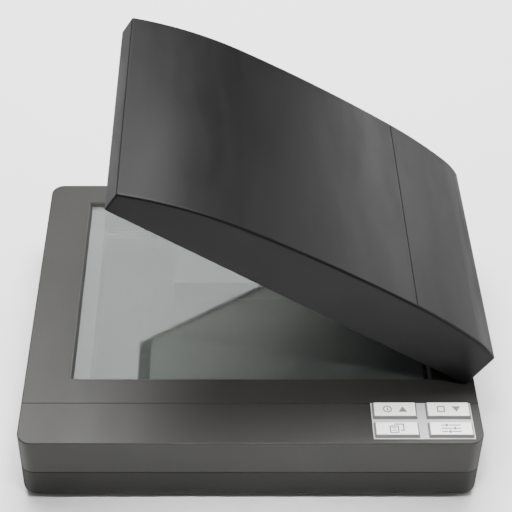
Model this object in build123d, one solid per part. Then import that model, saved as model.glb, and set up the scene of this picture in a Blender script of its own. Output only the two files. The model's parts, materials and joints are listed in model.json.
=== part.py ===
from build123d import *
import math
import os

# A flatbed document scanner with its lid held open.
#
# Millimetres. X runs left to right, Y front to back, Z up. The sizes below count X from the middle
# of the case. The finished nodes are moved left by CASE_OFFSET, so that the origin is on the table
# under the middle of the whole scanner, whose open lid hangs over on the right. The lid is hinged
# along the right-hand side: it is modelled closed and then turned to the angle at which it rests.
# The scan carriage is parked at the left.

# ---- Case ------------------------------------------------------------------------------------
CASE_W = 378.0
CASE_D = 332.0
FOOT_H = 2.5
TOP_Z = 70.0            # the top face of the case
SEAM_Z = 34.0           # where the lower case ends
SEAM_GAP = 0.6
WALL = 2.5
CORNER_R = 12.0         # upright corners, seen from above
BELLY_R = 7.0           # the rounding along the bottom edge
EDGE_R = 1.0
CASE_OFFSET = 6.0
LIP_T = 1.1             # the locating lip between the two case halves
LIP_H = 2.0

# ---- Platen and control strip ----------------------------------------------------------------
WINDOW_X = (-151.0, 154.0)
WINDOW_Y = (-95.5, 139.0)
GLASS_T = 3.0
TAPE_T = 0.3
GASKET_W = 3.0
GASKET_TOP = TOP_Z - 0.5
STRIP_Y = -122.0        # the joint between the platen top and the control strip
STRIP_T = 3.0
STRIP_GAP = 0.5

# ---- Keys ------------------------------------------------------------------------------------
KEY_W = 36.0
KEY_COLUMNS = (118.6, 162.4)
KEY_ROWS = {"back": (-140.0, -123.3), "front": (-160.1, -144.8)}
KEY_TOP = TOP_Z + 3.1
KEY_TRAVEL = 1.2
BEZEL_X = (99.4, 181.6)
BEZEL_Y = (-161.4, -122.5)
BEZEL_LEDGE = 0.5
KEY_FLANGE = 0.5
BEZEL_TOP = TOP_Z + 0.3
BEZEL_T = 1.8
KEY_BOARD_Z = 59.0
BOARD_T = 1.6

# ---- Hinge -----------------------------------------------------------------------------------
HINGE_X = 182.0
HINGE_Z = TOP_Z + 4.5
HINGE_Y = {"front": -62.0, "rear": 118.0}
HINGE_W = 30.0
KNUCKLE_R = 3.6
PIN_R = 1.6
RUN_FIT = 0.05          # radial clearance of a pin that turns
POST_X = (176.0, 184.0)
POST_FIT = 0.3
POST_BOTTOM = 18.0
LIFT = 18.0             # how far the posts slide up for a thick book

# ---- Lid -------------------------------------------------------------------------------------
LID_REST_DEG = 33.0     # how far open the lid stands
LID_LENGTH = 348.5      # hinge end to free end
LID_Y = (-102.0, 144.5)
LID_BOTTOM = TOP_Z + 1.0
LID_RIGHT = HINGE_X + 2.0
LID_LEFT = LID_RIGHT - LID_LENGTH
LID_WALL = 2.4
LID_JOINT = 90.0        # from the hinge end to the joint between the two covers
LID_GAP = 0.8
LID_SIDE_GAP = 0.3      # between the hinge cover and the side walls that run past it
LID_EDGE_R = 2.0
# Points on the crowned top: distance from the hinge end, and height above the lid's lower edge.
HINGE_END, SHOULDER, PEAK, TAIL, FREE_END = (0, 36.5), (22, 43.6), (92, 48.6), (250, 41.1), (LID_LENGTH, 17.5)
LINER_T = 2.4
LINER_INSET = 0.4
PAD_MARGIN = 1.5        # from the pad to the gasket, all round
SHEET_T = 0.8

# ---- Scan carriage, parked at the left ---------------------------------------------------------
CARRIAGE_X = (-184.0, -135.0)
CARRIAGE_Y = (-94.0, 138.0)
CARRIAGE_Z = (28.0, 58.0)
SCAN_X = -157.0
LAMP_Z = 61.6
LENS_Z = 43.0
TRAVEL = 306.0
SHELL_T = 2.0
ROD_R = 4.0
ROD_Y, ROD_Z = -106.0, 38.0
RAIL_Y = (142.5, 147.0)
RAIL_Z = (24.5, 26.0)
RAIL_POSTS = (-150, -90, 90, 150)

# ---- Belt drive --------------------------------------------------------------------------------
BELT_Y = (-122.2, -116.2)
BELT_T = 1.4
PULLEY_R = 6.0
DRIVE_X, IDLER_X = 165.0, -176.0
MODULE = 0.5
GEAR_TEETH, PINION_TEETH = 56, 14
GEAR_Y = (-128.0, -123.2)
BRACKET_Y = (-131.0, -129.4)
MOTOR_R, MOTOR_L = 17.5, 22.0

# ---- Fasteners ---------------------------------------------------------------------------------
SCREW_R = 1.5
SCREW_HEAD_R = 2.8
SCREW_HEAD_H = 1.8
CASE_BOSSES = [(-174, -151), (-60, -151), (78, -151), (-174, 153), (92, 153), (168, 153)]
LID_BOSSES = [(-156, -60), (-156, 28), (-156, 120), (163, -18), (163, 72), (-20, 138)]

MIDDLE_Y = 0.0
GLASS_TOP = TOP_Z - WALL - TAPE_T
FLOOR_Z = FOOT_H + WALL


# ---- Small helpers -----------------------------------------------------------------------------
def block(x, y, z):
    """A box from three (low, high) pairs."""
    size = [high - low for low, high in (x, y, z)]
    middle = [(high + low) / 2 for low, high in (x, y, z)]
    return Pos(*middle) * Box(*size)


def bar(radius, start, end):
    """A round bar between two points."""
    start, end = Vector(*start), Vector(*end)
    return extrude(Plane(origin=start, z_dir=end - start) * Circle(radius), (end - start).length)


def around(pair, margin):
    """A (low, high) pair grown by a margin each way."""
    return pair[0] - margin, pair[1] + margin


def slab(inset, z0, z1):
    """The case's outline, inset, between two heights."""
    outline = RectangleRounded(CASE_W - 2 * inset, CASE_D - 2 * inset, CORNER_R - inset)
    return extrude(Pos(0, 0, z0) * outline, z1 - z0)


def tube_box(x, y, z, wall):
    """A rectangular tube, open along Z, whose hollow is the given box."""
    return block(around(x, wall), around(y, wall), z) - block(x, y, around(z, 1))


def hinge_span(y, half):
    return y - half, y + half


def screw(x, y, head_z, tip_z):
    """A pan-head screw along Z; the head is at head_z and the tip at tip_z."""
    step = SCREW_HEAD_H if tip_z > head_z else -SCREW_HEAD_H
    body = bar(SCREW_HEAD_R, (x, y, head_z), (x, y, head_z + step))
    body += bar(SCREW_R, (x, y, head_z + step / 2), (x, y, tip_z))
    cross = block((x - 0.4, x + 0.4), (y - 1.7, y + 1.7), around((head_z, head_z), 0.7))
    cross += block((x - 1.7, x + 1.7), (y - 0.4, y + 0.4), around((head_z, head_z), 0.7))
    return body - cross


# ---- Case --------------------------------------------------------------------------------------
def tray_hollow():
    """The room inside the lower case, with its rounded belly, carried on up past the seam."""
    hollow = slab(WALL, FLOOR_Z, SEAM_Z + 20)
    return fillet(hollow.edges().group_by(Axis.Z)[0], BELLY_R - WALL)


def lower_case():
    """The tray: floor, walls, screw columns and the posts that carry what is inside."""
    shell = slab(0, FOOT_H, SEAM_Z)
    tray = fillet(shell.edges().group_by(Axis.Z)[0], BELLY_R) - tray_hollow()
    tray += slab(WALL - LIP_T, SEAM_Z - 2, SEAM_Z + LIP_H) - slab(WALL, SEAM_Z - 3, SEAM_Z + LIP_H + 1)
    for x, y in CASE_BOSSES:
        tray += bar(4.2, (x, y, FLOOR_Z - 1), (x, y, SEAM_Z))
        tray -= bar(SCREW_R + 0.3, (x, y, 0), (x, y, SEAM_Z + 1))
        tray -= bar(SCREW_HEAD_R + 0.4, (x, y, 0), (x, y, 12))
    for x in RAIL_POSTS:
        tray += block((x - 3, x + 3), RAIL_Y, (FLOOR_Z - 0.5, RAIL_Z[0]))
    for x, y in BOARD_POSTS:
        tray += bar(3, (x, y, FLOOR_Z - 0.5), (x, y, MAIN_BOARD_Z)) - bar(
            SCREW_R, (x, y, FLOOR_Z + 1), (x, y, MAIN_BOARD_Z + 1)
        )
    for x in BRACKET_FOOT_X:
        tray += bar(3.5, (x, BRACKET_FOOT_Y, FLOOR_Z - 0.5), (x, BRACKET_FOOT_Y, FLOOR_Z + 1))
        tray -= bar(SCREW_R, (x, BRACKET_FOOT_Y, FOOT_H + 1), (x, BRACKET_FOOT_Y, FLOOR_Z + 3))
    tray += block((SPRING_X[1], SPRING_X[1] + 2), around(BRACKET_LEG_Y, -2), (FLOOR_Z - 1, SPRING_Z + 4))
    for x, y in FEET:
        tray -= bar(FOOT_R, (x, y, 0), (x, y, FOOT_H + 1.2))
    tray -= block(*LOCK_SLOT, (0, FLOOR_Z + 1))
    for step in range(VENT_COUNT):
        x = VENT_X + VENT_PITCH * step
        tray -= block((x, x + VENT_W), (CASE_D / 2 - 5, CASE_D / 2 + 1), (14, 29))
        tray -= block((x, x + VENT_W), (84, 122), (0, FLOOR_Z + 1))
    tray -= block(LABEL_X, LABEL_Y, (0, FOOT_H + 0.4))
    for x in (USB_X, INLET_X):
        tray -= block((x - 8, x + 8), (CASE_D / 2 - 1.2, CASE_D / 2 + 1), (MAIN_BOARD_Z, SEAM_Z - 2))
    tray -= block((USB_X - 6.2, USB_X + 6.2), (150, 170), USB_Z)
    tray -= bar(4.6, (INLET_X, 155, INLET_Z), (INLET_X, 170, INLET_Z))
    return tray


def upper_case():
    """The upper shell: walls, top face with the platen window, hinge wells and screw columns."""
    low = SEAM_Z + SEAM_GAP
    shell = slab(0, low, TOP_Z)
    shell = fillet(shell.edges().group_by(Axis.Z)[-1], EDGE_R)
    ledge_y = STRIP_Y + WALL
    hollow = slab(WALL, low - 1, TOP_Z - WALL)
    hollow -= block((-200, 200), (-200, ledge_y), (TOP_Z - STRIP_T - 2.2, TOP_Z))
    shell -= hollow
    shell -= block((-200, 200), (-200, STRIP_Y), (TOP_Z - STRIP_T, TOP_Z + 5))
    shell -= slab(WALL - LIP_T - 0.1, low - 1, SEAM_Z + LIP_H + 0.3)
    shell -= block(WINDOW_X, WINDOW_Y, (TOP_Z - 10, TOP_Z + 5))
    shell -= block(around(BEZEL_X, -BEZEL_LEDGE), around(BEZEL_Y, -BEZEL_LEDGE), (50, TOP_Z))
    for y in HINGE_Y.values():
        well = (around(POST_X, POST_FIT), hinge_span(y, HINGE_W / 2 + POST_FIT), (15.0, TOP_Z - 1))
        shell += tube_box(*well, 2.0) + block(around(well[0], 2), around(well[1], 2), (15.0, 17.0))
        shell -= block(well[0], well[1], (17.0, TOP_Z + 1))
        mouth = (HINGE_X - KNUCKLE_R - 0.4, HINGE_X + KNUCKLE_R + 0.4)
        shell -= block(mouth, well[1], (TOP_Z - 2.4, TOP_Z + 1))
    for x, y in CASE_BOSSES:
        roof = TOP_Z - STRIP_T - 1 if y < STRIP_Y else TOP_Z - 1
        shell += bar(4.2, (x, y, low), (x, y, roof)) - bar(SCREW_R, (x, y, low - 1), (x, y, 48))
    for x, y in KEY_BOARD_POSTS:
        top = TOP_Z - STRIP_T - 1
        shell += bar(3, (x, y, KEY_BOARD_Z + BOARD_T), (x, y, top)) - bar(
            SCREW_R, (x, y, KEY_BOARD_Z), (x, y, KEY_BOARD_Z + BOARD_T + 4)
        )
    return shell


def control_strip():
    """The strip along the front of the top face that holds the keys."""
    strip = slab(0, TOP_Z - STRIP_T, TOP_Z)
    strip = fillet(strip.edges().group_by(Axis.Z)[-1], EDGE_R)
    strip &= block((-200, 200), (-200, STRIP_Y - STRIP_GAP), (0, 100))
    strip -= block(BEZEL_X, BEZEL_Y, (TOP_Z - BEZEL_T + 0.3, TOP_Z + 1))
    strip -= block(around(BEZEL_X, -BEZEL_LEDGE), around(BEZEL_Y, -BEZEL_LEDGE), (50, TOP_Z + 1))
    return strip


def key_bezel():
    """The light frame round the four keys."""
    plate = block(BEZEL_X, BEZEL_Y, (BEZEL_TOP - BEZEL_T, BEZEL_TOP))
    plate = fillet(plate.edges().filter_by(Axis.Z), 0.6)
    for x in KEY_COLUMNS:
        for row in KEY_ROWS.values():
            plate -= block(around((x, x), KEY_W / 2 + 0.25), around(row, 0.25), (0, 100))
    return plate


def key(column, row):
    """One key: a drafted cap, the side flanges that keep it in, and the stem to its switch."""
    x, (y0, y1) = KEY_COLUMNS[column], KEY_ROWS[row]
    middle = (y0 + y1) / 2
    flange_top = BEZEL_TOP - BEZEL_T - 0.1
    base = Pos(x, middle, flange_top - 0.5) * Rectangle(KEY_W, y1 - y0)
    cap = extrude(base, BEZEL_TOP - flange_top + 0.5)
    head = Pos(x, middle, BEZEL_TOP) * Rectangle(KEY_W, y1 - y0)
    crown = Pos(x, middle, KEY_TOP) * Rectangle(KEY_W - 2.2, y1 - y0 - 2.2)
    cap += loft([head.face(), crown.face()])
    cap = fillet(cap.edges().group_by(Axis.Z)[-1], 0.5)
    flange_x = around((x, x), KEY_W / 2 + KEY_FLANGE)
    cap += block(flange_x, (y0, y1), (flange_top - 1.2, flange_top))
    cap += bar(1.8, (x, middle, KEY_BOARD_Z + BOARD_T + 3.6 + KEY_TRAVEL), (x, middle, flange_top))
    return cap


def platen_glass():
    x = (WINDOW_X[0] - 12, WINDOW_X[1] + 6)
    return block(x, around(WINDOW_Y, 6), (GLASS_TOP - GLASS_T, GLASS_TOP))


def glass_tape():
    """The adhesive frame between the glass and the top face."""
    x = (WINDOW_X[0] - 12, WINDOW_X[1] + 6)
    ring = block(x, around(WINDOW_Y, 6), (GLASS_TOP, GLASS_TOP + TAPE_T))
    return ring - block(around(WINDOW_X, 0.5), around(WINDOW_Y, 0.5), (GLASS_TOP - 1, TOP_Z))


def glass_gasket():
    """The black seal round the window, sloping down to the glass."""
    outer = Pos(0, 0, GASKET_TOP) * window_outline(0)
    inner = Pos(0, 0, GLASS_TOP) * window_outline(GASKET_W)
    mouth = Pos(0, 0, GASKET_TOP + 0.01) * window_outline(0.7)
    ring = extrude(Pos(0, 0, GLASS_TOP) * window_outline(0), GASKET_TOP - GLASS_TOP)
    return ring - loft([inner.face(), mouth.face()])


def window_outline(inset):
    width = WINDOW_X[1] - WINDOW_X[0] - 2 * inset
    depth = WINDOW_Y[1] - WINDOW_Y[0] - 2 * inset
    return Pos(sum(WINDOW_X) / 2, sum(WINDOW_Y) / 2) * Rectangle(width, depth)


def calibration_strip():
    """The white strip under the glass that the carriage reads when parked."""
    x = (WINDOW_X[0] - 11.5, WINDOW_X[0] - 1.5)
    bottom = GLASS_TOP - GLASS_T
    return block(x, WINDOW_Y, (bottom - 0.4, bottom))


VENT_X, VENT_PITCH, VENT_W, VENT_COUNT = 96.0, 5.0, 2.0, 10
LABEL_X, LABEL_Y = (-45.0, 45.0), (-60.0, -10.0)
FOOT_R = 8.0
FEET = [(x, y) for x in (-158, 158) for y in (-138, 138)]


def rubber_feet():
    feet = []
    for x, y in FEET:
        foot = bar(FOOT_R, (x, y, 0), (x, y, FOOT_H + 1.2))
        feet.append(fillet(foot.edges().group_by(Axis.Z)[0], 0.8))
    return feet


def case_screws():
    return [screw(x, y, 12 - SCREW_HEAD_H, 46) for x, y in CASE_BOSSES]


# ---- Electronics -------------------------------------------------------------------------------
MAIN_BOARD_X, MAIN_BOARD_Y, MAIN_BOARD_Z = (-62.0, 62.0), (74.0, 160.5), 13.0
BOARD_POSTS = [(-57, 79), (57, 79), (-57, 136), (57, 136)]
SHIELD_X, SHIELD_Y, SHIELD_TOP, SHIELD_T = (-68.0, 68.0), (71.0, 141.0), 25.8, 0.8
USB_X, INLET_X = -24.0, 24.0
USB_Z = (MAIN_BOARD_Z + BOARD_T, MAIN_BOARD_Z + BOARD_T + 10.9)
INLET_Z = MAIN_BOARD_Z + BOARD_T + 5.6
KEY_BOARD_X, KEY_BOARD_Y = (102.0, 179.0), (-159.0, -124.0)
KEY_BOARD_POSTS = [(96.5, -128.0), (96.5, -155.0)]


def main_board():
    board = block(MAIN_BOARD_X, MAIN_BOARD_Y, (MAIN_BOARD_Z, MAIN_BOARD_Z + BOARD_T))
    for x, y in BOARD_POSTS:
        board -= bar(SCREW_R + 0.1, (x, y, 0), (x, y, 30))
    return board


def board_components():
    """Chips, capacitors and the ribbon socket on the main board."""
    top = MAIN_BOARD_Z + BOARD_T
    chips = [(-20, 105, 20, 20, 1.8), (18, 112, 14, 14, 1.6), (20, 90, 12, 7, 1.4), (-45, 100, 10, 6, 1.4)]
    parts = [block((x - w / 2, x + w / 2), (y - d / 2, y + d / 2), (top, top + h)) for x, y, w, d, h in chips]
    parts += [bar(4, (x, y, top), (x, y, top + 5)) for x, y in ((42, 108), (42, 120))]
    parts += [bar(5, (x, 154, top), (x, 154, top + 13)) for x in (42, 54)]
    parts.append(block((-50, -28), (84, 88), (top, top + 3)))
    return parts


def usb_port():
    """A square socket with a tongue inside."""
    x, y = (USB_X - 6, USB_X + 6), (147.6, CASE_D / 2 - 1.3)
    shell = block(x, y, USB_Z)
    hollow = block(around(x, -1.2), (y[0] + 3, y[1] + 1), around(USB_Z, -1.2))
    tongue = block((USB_X - 2.4, USB_X + 2.4), (y[0] + 2, y[1] - 4), (USB_Z[0] + 3.4, USB_Z[1] - 4.2))
    return shell - hollow + tongue


def power_inlet():
    """A round low-voltage socket with a centre pin."""
    back = 149.0
    body = block((INLET_X - 4.5, INLET_X + 4.5), (back, 161.0), (INLET_Z - 5.5, INLET_Z + 5.4))
    body += bar(4.4, (INLET_X, 160, INLET_Z), (INLET_X, CASE_D / 2 - 1.3, INLET_Z))
    body -= bar(2.9, (INLET_X, back + 3, INLET_Z), (INLET_X, 170, INLET_Z))
    return body + bar(0.9, (INLET_X, back + 2, INLET_Z), (INLET_X, CASE_D / 2 - 3, INLET_Z))


def inner_screws():
    """The screws that hold the main board, the key board and the motor's bracket."""
    top = MAIN_BOARD_Z + BOARD_T
    screws = [screw(x, y, top + SCREW_HEAD_H, FLOOR_Z + 2) for x, y in BOARD_POSTS]
    tip = KEY_BOARD_Z + BOARD_T + 4
    screws += [screw(x, y, KEY_BOARD_Z - SCREW_HEAD_H, tip) for x, y in KEY_BOARD_POSTS]
    top = FLOOR_Z + 2.4 + SCREW_HEAD_H
    screws += [screw(x, BRACKET_FOOT_Y, top, FOOT_H + 1.4) for x in BRACKET_FOOT_X]
    return screws


def board_shield():
    """The folded cover over the main board."""
    cover = block(SHIELD_X, SHIELD_Y, (FLOOR_Z, SHIELD_TOP))
    inside = around(SHIELD_X, -SHIELD_T), (SHIELD_Y[0] + SHIELD_T, SHIELD_Y[1] + 1)
    cover -= block(*inside, (0, SHIELD_TOP - SHIELD_T))
    for step in range(9):
        x = -32 + 8 * step
        cover -= block((x - 1.2, x + 1.2), (88, 118), (20, 30))
    return cover


def key_board():
    board = block(KEY_BOARD_X, KEY_BOARD_Y, (KEY_BOARD_Z, KEY_BOARD_Z + BOARD_T))
    for x, y in KEY_BOARD_POSTS:
        board += block((x - 4, KEY_BOARD_X[0] + 1), (y - 4, y + 4), (KEY_BOARD_Z, KEY_BOARD_Z + BOARD_T))
        board -= bar(SCREW_R, (x, y, 0), (x, y, 80))
    return board


def key_switches():
    """A push switch on the board under each key."""
    top = KEY_BOARD_Z + BOARD_T
    switches = []
    for x in KEY_COLUMNS:
        for y0, y1 in KEY_ROWS.values():
            y = (y0 + y1) / 2
            body = block((x - 3, x + 3), (y - 3, y + 3), (top, top + 2.4))
            switches.append(body + bar(1.6, (x, y, top + 2), (x, y, top + 3.5)))
    return switches


# ---- Guides and drive --------------------------------------------------------------------------
BRACKET_FOOT_X, BRACKET_FOOT_Y = (134.0, 172.0), -121.0
BRACKET_LEG_Y = (-139.0, -125.5)
SPRING_X, SPRING_Z = (-149.9, -136.1), 12.0


def guide_rod():
    half = CASE_W / 2 - WALL - 0.5
    return chamfer(
        bar(ROD_R, (-half, ROD_Y, ROD_Z), (half, ROD_Y, ROD_Z)).edges().filter_by(GeomType.CIRCLE), 0.6
    )


def rod_holders():
    """A pillar under each end of the guide rod."""
    edge = CASE_W / 2 - WALL
    pillars = []
    for x in ((-edge + 1.2, -edge + 5.2), (edge - 6.2, edge - 1.2)):
        pillar = block(x, around((ROD_Y, ROD_Y), 7), (FLOOR_Z, ROD_Z + 6)) & tray_hollow()
        pillars.append(pillar - bar(ROD_R, (-200, ROD_Y, ROD_Z), (200, ROD_Y, ROD_Z)))
    return pillars


def rear_rail():
    return block((-184, 170), RAIL_Y, RAIL_Z)


def involute_gear(teeth, bore, y, backlash=0.08):
    """A spur gear about the Y axis at X = Z = 0, a tooth pointing along +X."""
    pitch = MODULE * teeth / 2
    base, tip, root = pitch * math.cos(math.radians(20)), pitch + MODULE * 0.9, pitch - MODULE * 1.25
    spread = lambda r: math.tan(math.acos(base / r)) - math.acos(base / r)
    half = math.pi / (2 * teeth) - backlash / (2 * pitch) + spread(pitch)
    start = max(base, root + 0.02)
    flank = [start + (tip - start) * i / 4 for i in range(5)]
    outline = []
    for tooth in range(teeth):
        centre = 2 * math.pi * tooth / teeth
        left = [(r, centre - half + spread(r)) for r in flank]
        right = [(r, centre + half - spread(r)) for r in reversed(flank)]
        outline += [(root, left[0][1])] + left + right + [(root, right[-1][1])]
    points = [(r * math.cos(a), r * math.sin(a)) for r, a in outline]
    face = Plane.XZ * make_face(Polyline(*points, close=True))
    gear = Pos(0, y[1], 0) * extrude(face, y[1] - y[0])
    return gear - bar(bore, (0, y[0] - 1, 0), (0, y[1] + 1, 0))


def drive_gear():
    """The large gear with the toothed pulley that carries the belt."""
    gear = involute_gear(GEAR_TEETH, 1.5 + RUN_FIT, GEAR_Y)
    gear += bar(PULLEY_R + 2.2, (0, GEAR_Y[1], 0), (0, BELT_Y[0] - 0.2, 0))
    gear += pulley_wheel((BELT_Y[0] - 0.3, BELT_Y[1] + 1.0))
    gear -= bar(1.5 + RUN_FIT, (0, -140, 0), (0, -100, 0))
    return Pos(DRIVE_X, 0, ROD_Z) * gear


def pulley_wheel(y):
    """A belt pulley about the Y axis with one flange, and shallow grooves for the belt's teeth."""
    wheel = bar(PULLEY_R - 0.1, (0, y[0], 0), (0, y[1], 0))
    wheel += bar(PULLEY_R + 2.2, (0, y[1] - 0.8, 0), (0, y[1], 0))
    for step in range(18):
        angle = 2 * math.pi * step / 18
        x, z = PULLEY_R * math.cos(angle), PULLEY_R * math.sin(angle)
        wheel -= bar(0.5, (x, y[0] - 1, z), (x, y[1] - 0.8, z))
    return wheel


def drive_axle():
    return bar(1.5, (DRIVE_X, BRACKET_Y[0], ROD_Z), (DRIVE_X, BELT_Y[1] + 1.6, ROD_Z))


def motor_x():
    return DRIVE_X - MODULE * (GEAR_TEETH + PINION_TEETH) / 2


def motor_pinion():
    """The motor's shaft with its small gear, turned so that a gap faces the large gear's tooth."""
    pinion = involute_gear(PINION_TEETH, 0.9, around(GEAR_Y, 0.2))
    pinion = pinion.rotate(Axis.Y, 180.0 / PINION_TEETH)
    pinion += bar(0.9, (0, BRACKET_Y[0] - 6, 0), (0, GEAR_Y[1] + 0.8, 0))
    return Pos(motor_x(), 0, ROD_Z) * pinion


def motor_body():
    x, y1 = motor_x(), BRACKET_Y[0]
    can = bar(MOTOR_R, (x, y1 - MOTOR_L, ROD_Z), (x, y1, ROD_Z))
    can = fillet(can.edges().filter_by(GeomType.CIRCLE), 1.2)
    can += bar(5, (x, y1 - 1, ROD_Z), (x, y1 + 1.2, ROD_Z))
    for side in (-1, 1):
        can += block((x - 4, x + 4), (y1 - 1.2, y1), sorted((ROD_Z, ROD_Z + side * (MOTOR_R + 3))))
    can += block((x - 7, x + 7), (y1 - MOTOR_L + 3, y1 - 6), (ROD_Z - MOTOR_R - 4, ROD_Z))
    return can - bar(0.95, (x, y1 - 8, ROD_Z), (x, y1 + 5, ROD_Z))


def motor_bracket():
    """A bent steel plate that holds the motor and the gear's axle."""
    plate = block((128, 179), BRACKET_Y, (FLOOR_Z + 1, 58.5))
    plate += block((128, 179), (BRACKET_Y[0], -114), (FLOOR_Z + 1, FLOOR_Z + 2.4))
    plate -= bar(5.2, (motor_x(), -140, ROD_Z), (motor_x(), -120, ROD_Z))
    plate -= bar(1.5, (DRIVE_X, -140, ROD_Z), (DRIVE_X, -120, ROD_Z))
    for x in BRACKET_FOOT_X:
        plate -= bar(SCREW_R + 0.1, (x, BRACKET_FOOT_Y, 0), (x, BRACKET_FOOT_Y, 20))
    return plate


def drive_belt():
    """The toothed belt, a loop round both pulleys."""
    def loop(radius):
        length = DRIVE_X - IDLER_X
        return Pos((DRIVE_X + IDLER_X) / 2, 0) * SlotCenterToCenter(length, 2 * radius)

    section = Plane.XZ * (loop(PULLEY_R + BELT_T) - loop(PULLEY_R))
    return Pos(0, BELT_Y[1], ROD_Z) * extrude(section, BELT_Y[1] - BELT_Y[0])


def idler_pulley():
    wheel = pulley_wheel((BELT_Y[0] - 0.3, BELT_Y[1] + 1.0))
    wheel -= bar(1.5 + RUN_FIT, (0, -140, 0), (0, -100, 0))
    return Pos(IDLER_X, 0, ROD_Z) * wheel


def idler_bracket():
    """The slide that holds the idler's axle, pulled tight by a spring."""
    plate = block((-183.5, -150), BRACKET_LEG_Y, (FLOOR_Z, 18))
    plate -= block((-178, -156), BRACKET_LEG_Y, (FLOOR_Z - 1, 15.5))
    plate += block((-183.5, -160), (-128, -125.5), (16, 46))
    plate += bar(1.5, (IDLER_X, -127, ROD_Z), (IDLER_X, BELT_Y[1] + 1.6, ROD_Z))
    return plate & tray_hollow()


def tension_spring():
    """The coil between the idler's slide and the case."""
    length = SPRING_X[1] - SPRING_X[0] - 0.8
    path = Helix(pitch=length / 8, height=length, radius=2.6)
    coil = sweep(Plane(origin=path @ 0, z_dir=path % 0) * Circle(0.35), path=path)
    return Pos(SPRING_X[0] + 0.4, sum(BRACKET_LEG_Y) / 2, SPRING_Z) * coil.rotate(Axis.Y, 90)


# ---- Scan carriage -----------------------------------------------------------------------------
def carriage_housing():
    """The moulded box that holds the optics, with its bearings' blocks and lock ears."""
    body = block(CARRIAGE_X, CARRIAGE_Y, CARRIAGE_Z)
    body -= block(around(CARRIAGE_X, -SHELL_T), around(CARRIAGE_Y, -SHELL_T), (CARRIAGE_Z[0] + SHELL_T, 60))
    for x0 in BUSH_X:
        body += block((x0 - 1, x0 + BUSH_L + 1), (ROD_Y - 7.4, CARRIAGE_Y[0]), (ROD_Z - 8, ROD_Z + 8))
        body -= bar(BUSH_R, (x0, ROD_Y, ROD_Z), (x0 + BUSH_L, ROD_Y, ROD_Z))
        body -= bar(ROD_R + 0.6, (x0 - 2, ROD_Y, ROD_Z), (x0 + BUSH_L + 2, ROD_Y, ROD_Z))
    body += block((-172, -148), (CARRIAGE_Y[1] - 0.5, RAIL_Y[1]), (RAIL_Z[1] + 4, 38))
    for x in (-154.0, -147.0):
        body += block((x, x + 2), (-56, -42), (23, CARRIAGE_Z[0] + 0.5))
    y = sum(CARRIAGE_Y) / 2
    saddle = block((-150.5, -147.5), (y - 9, y + 9), (CARRIAGE_Z[0] + 1, LENS_Z))
    return body + saddle - bar(6.5, (-151, y, LENS_Z), (-147, y, LENS_Z))


BUSH_R, BUSH_L = 6.0, 11.0
BUSH_X = (-180.0, -150.0)


def carriage_cover():
    """The lid of the optics box, with the slit that light comes in by."""
    top = CARRIAGE_Z[1]
    plate = block(CARRIAGE_X, CARRIAGE_Y, (top, top + 1.6))
    return plate - block((SCAN_X - 2, SCAN_X + 2), around(CARRIAGE_Y, -10), (top - 1, top + 3))


def lamp_tube():
    return bar(1.5, (SCAN_X - 7, CARRIAGE_Y[0] + 6, LAMP_Z), (SCAN_X - 7, CARRIAGE_Y[1] - 6, LAMP_Z))


def lamp_reflector():
    """A folded bright strip under and behind the lamp."""
    y = around(CARRIAGE_Y, -9)
    floor = block((SCAN_X - 11, SCAN_X - 3), y, (CARRIAGE_Z[1] + 1.6, CARRIAGE_Z[1] + 2.1))
    return floor + block((SCAN_X - 11, SCAN_X - 10.5), y, (CARRIAGE_Z[1] + 1.6, LAMP_Z + 1.6))


def lamp_holders():
    """A rubber cap on each end of the lamp."""
    holders = []
    for y0 in (CARRIAGE_Y[0] + 1, CARRIAGE_Y[1] - 7):
        cap = block((SCAN_X - 10.4, SCAN_X - 3.6), (y0, y0 + 6), (CARRIAGE_Z[1] + 1.6, LAMP_Z + 1.8))
        holders.append(cap - lamp_tube())
    return holders


def mirrors():
    """The three long mirrors that fold the light down to the lens."""
    strips = []
    for x, z, tilt in ((SCAN_X, 38.0, 45), (-177.0, 38.0, -35), (-177.0, 50.5, 35)):
        strip = Box(2.2, CARRIAGE_Y[1] - CARRIAGE_Y[0] - 12, 9)
        strips.append(Pos(x, sum(CARRIAGE_Y) / 2, z) * Rot(0, tilt, 0) * strip)
    return strips


def lens_barrel():
    y = sum(CARRIAGE_Y) / 2
    tube = bar(5.5, (-153, y, LENS_Z), (-143, y, LENS_Z)) + bar(6.5, (-151, y, LENS_Z), (-147, y, LENS_Z))
    return tube - bar(3.8, (-154, y, LENS_Z), (-152, y, LENS_Z))


def sensor_board():
    """The upright board with the line sensor behind the lens."""
    y = sum(CARRIAGE_Y) / 2
    board = block((-139.4, -138), (y - 32, y + 32), (CARRIAGE_Z[0] + SHELL_T, 56))
    return board + block((-141.6, -139.4), (y - 20, y + 20), (LENS_Z - 3, LENS_Z + 3))


def rod_bushings():
    """The two plain bearings that run on the guide rod."""
    ends = [((x, ROD_Y, ROD_Z), (x + BUSH_L, ROD_Y, ROD_Z)) for x in BUSH_X]
    return [bar(BUSH_R, *end) - bar(ROD_R + RUN_FIT, *end) for end in ends]


def rear_glide():
    """The low-friction pad that rides on the rear rail."""
    return block((-170, -150), around(RAIL_Y, -0.3), (RAIL_Z[1] + 0.1, RAIL_Z[1] + 4))


# The clamp stays clear of the idler when parked and of the drive gear at the end of the travel.
CLAMP_X = (-166.5, -156.5)


def belt_clamp():
    """The clip that fixes the carriage to the belt's lower run."""
    run = ROD_Z - PULLEY_R - BELT_T
    body = block(CLAMP_X, (BELT_Y[0] - 1, CARRIAGE_Y[0]), (run - 2.4, ROD_Z - ROD_R - 0.6))
    return body - block((-170, -150), around(BELT_Y, 0.4), (run - 0.35, run + BELT_T + 0.35))


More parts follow.
